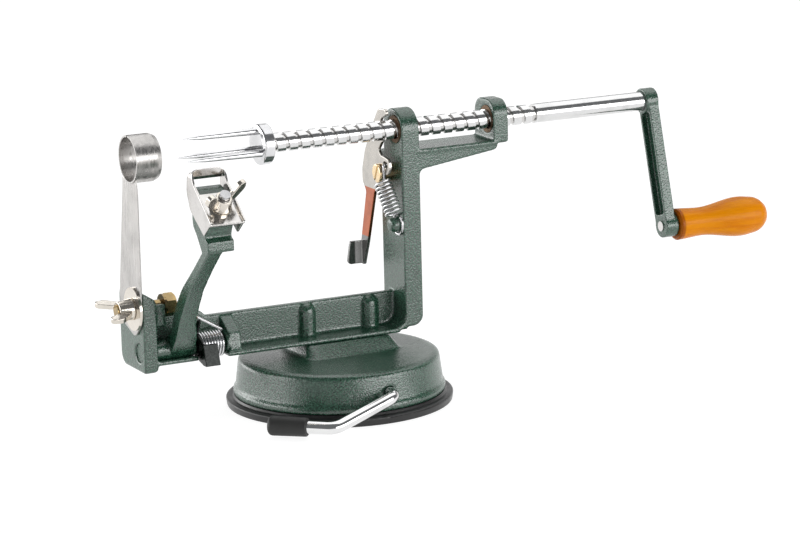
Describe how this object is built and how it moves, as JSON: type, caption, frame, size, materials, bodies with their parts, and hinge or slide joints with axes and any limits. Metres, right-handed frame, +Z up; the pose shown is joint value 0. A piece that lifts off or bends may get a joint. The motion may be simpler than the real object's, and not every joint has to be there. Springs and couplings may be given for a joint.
{
  "type": "hand-cranked fruit peeler",
  "caption": "Hand-cranked fruit peeler, corer and slicer: cast frame on a lever-clamped suction base, helical feed shaft with fork and crank, sprung peeling arm, slicing blade with coring ring.",
  "frame": {"origin": "centre of the suction disc's underside, on the table surface", "axes": "+X along the feed shaft from the fork to the crank, +Y away from the person who turns it, +Z up"},
  "size_m": [0.3513, 0.1249, 0.1392],
  "materials": {
    "rubber": "black moulded rubber, smooth edge",
    "enamel": "dark green hammered enamel on cast metal",
    "cam_steel": "plain machined steel",
    "chrome": "bright plating",
    "tip_rubber": "black moulded rubber",
    "screw_steel": "zinc plated steel",
    "golden_zinc": "yellow zinc plated steel",
    "blade_steel": "ground sheet steel with a bevelled edge",
    "nickel": "nickel plated steel",
    "shaft_steel": "plated steel with a helical groove",
    "fork_steel": "bright plated steel",
    "bronze": "brown sintered bronze",
    "rivet_steel": "plain steel",
    "wood": "varnished turned hardwood",
    "spring_steel": "plated spring wire",
    "catch_steel": "dark pressed sheet steel with bright edges"
  },
  "bodies": {
    "frame": {"suction_disc": "rubber", "base_casting": "enamel", "frame_screw_1": "screw_steel", "frame_screw_2": "screw_steel", "frame_casting": "enamel", "pivot_pin": "enamel", "clamp_bolt": "golden_zinc", "clamp_washer": "golden_zinc", "pawl_screw": "golden_zinc", "pawl_spacer": "golden_zinc"},
    "stud": {"suction_stud": "cam_steel"},
    "clamp": {"clamp_lever": "chrome", "lever_cam": "cam_steel", "lever_tip": "tip_rubber", "lever_clip": "screw_steel"},
    "bushes": {"left_bush": "bronze", "right_bush": "bronze"},
    "shaft": {"feed_shaft": "shaft_steel", "fork_hub": "fork_steel", "fork_prong_1": "fork_steel", "fork_prong_2": "fork_steel", "fork_prong_3": "fork_steel", "crank_arm": "enamel", "handle_rivet": "rivet_steel"},
    "handle": {"handle_grip": "wood"},
    "pawl": {"pawl_lever": "chrome", "pawl_spring": "spring_steel"},
    "arm": {"peeling_arm": "enamel", "peeling_blade": "chrome", "blade_bolt": "screw_steel", "blade_washer": "nickel"},
    "blade_nut": {"blade_wing_nut": "nickel"},
    "catch": {"arm_catch": "catch_steel", "arm_spring": "spring_steel"},
    "slicer": {"slicer_blade": "blade_steel", "corer_ring": "blade_steel", "slicer_washer": "nickel"},
    "slicer_nut": {"slicer_wing_nut": "nickel"}
  },
  "joints": [
    {"name": "clamp_turn", "type": "hinge", "parent": "frame", "child": "clamp", "pos_m": [0, 0, 0.0135], "axis": [-0.061, 0.9981, 0], "range_deg": [0, 175]},
    {"name": "stud_lift", "type": "slide", "parent": "frame", "child": "stud", "axis": [0, 0, 1], "range_m": [0, 0.0025]},
    {"name": "shaft_turn", "type": "hinge", "parent": "frame", "child": "bushes", "pos_m": [0.0669, 0.0066, 0.1278], "axis": [1, 0, 0], "range_deg": [-4308, 3288]},
    {"name": "shaft_feed", "type": "slide", "parent": "bushes", "child": "shaft", "axis": [1, 0, 0], "range_m": [-0.0761, 0.0581]},
    {"name": "grip_spin", "type": "hinge", "parent": "shaft", "child": "handle", "pos_m": [0.208, -0.01018, 0.06687], "axis": [1, 0, 0], "continuous": true},
    {"name": "pawl_pivot", "type": "hinge", "parent": "frame", "child": "pawl", "pos_m": [0.0315, 0.0132, 0.1058], "axis": [-1, 0, 0], "range_deg": [0, 8], "stiffness_Nm_per_rad": 0.05, "springref_deg": -20.05, "deforming": ["pawl_spring"]},
    {"name": "arm_swing", "type": "hinge", "parent": "frame", "child": "arm", "pos_m": [-0.08, 0.0055, 0.0349], "axis": [1, 0, 0], "range_deg": [-12, 36], "stiffness_Nm_per_rad": 0.3, "springref_deg": -5.73},
    {"name": "blade_nut_turn", "type": "hinge", "parent": "arm", "child": "blade_nut", "pos_m": [-0.0804, -0.05384, 0.11712], "axis": [0, -0.6293, 0.7771], "continuous": true},
    {"name": "catch_rock", "type": "hinge", "parent": "frame", "child": "catch", "pos_m": [-0.0725, 0.0055, 0.0349], "axis": [1, 0, 0], "range_deg": [-6, 6], "stiffness_Nm_per_rad": 0.05},
    {"name": "slicer_swing", "type": "hinge", "parent": "frame", "child": "slicer", "pos_m": [-0.102, 0.006, 0.0565], "axis": [-1, 0, 0], "range_deg": [0, 120]},
    {"name": "slicer_nut_turn", "type": "hinge", "parent": "frame", "child": "slicer_nut", "pos_m": [-0.108, 0.006, 0.0565], "axis": [-1, 0, 0], "continuous": true}
  ],
  "couplings": [
    {"joint": "stud_lift", "follows": "clamp_turn", "m_per_rad": 0.00079577},
    {"joint": "shaft_feed", "follows": "shaft_turn", "m_per_rad": 0.0010106}
  ]
}
